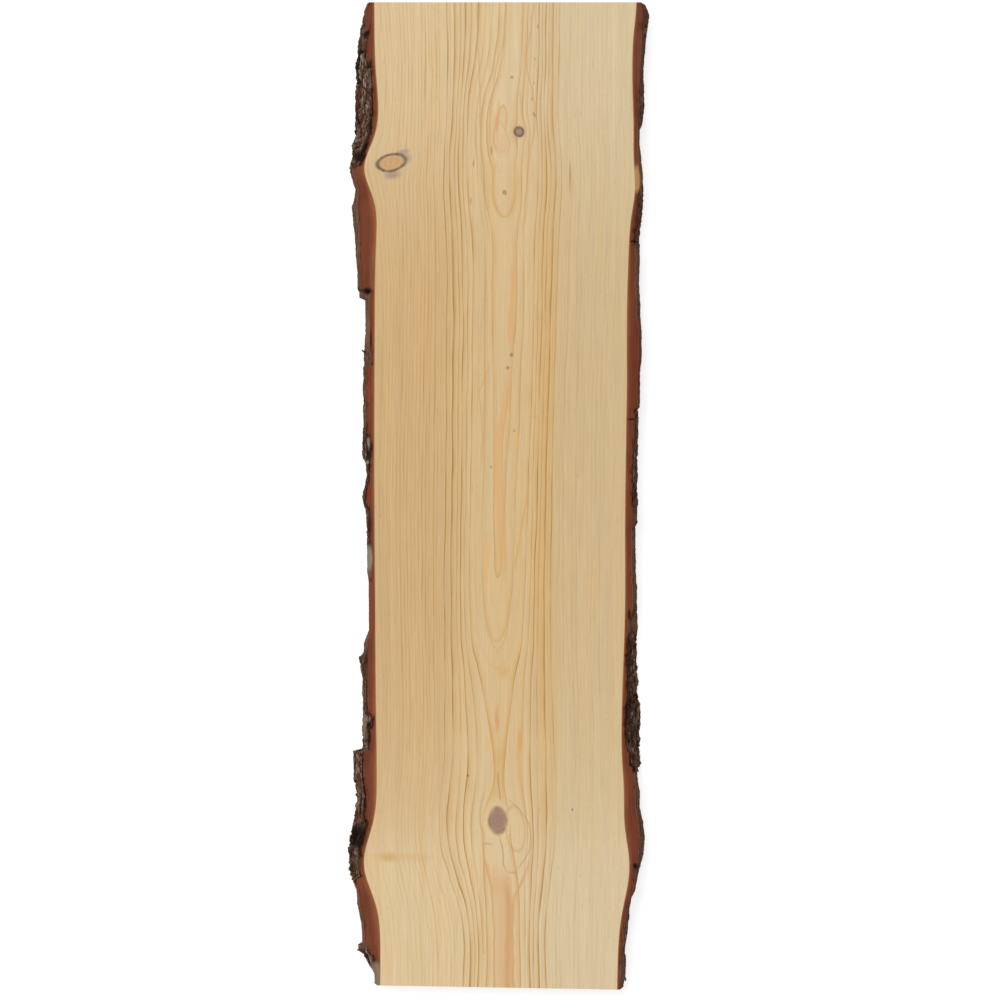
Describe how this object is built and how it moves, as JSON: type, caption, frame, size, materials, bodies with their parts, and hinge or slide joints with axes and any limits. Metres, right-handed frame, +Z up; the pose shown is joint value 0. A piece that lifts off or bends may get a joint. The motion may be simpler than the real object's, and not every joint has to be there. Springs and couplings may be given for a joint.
{
  "type": "live-edge timber plank",
  "caption": "Flat-sawn softwood plank with planed faces, wavy natural long edges that keep their bark, and sawn ends; raw stock for shelves, tops and furniture.",
  "frame": {"origin": "middle of the plank's bounding box, on its lower face", "axes": "+Y along the grain to the head end, +X to the right edge, +Z up through the thickness"},
  "size_m": [0.369, 1.2026, 0.028],
  "materials": {
    "softwood": "planed, unfinished",
    "bark": "sawn on the faces, rough and scaly outside"
  },
  "bodies": {
    "root": {"sawn_board": "softwood", "left_bark": "bark", "right_bark": "bark"}
  },
  "joints": []
}
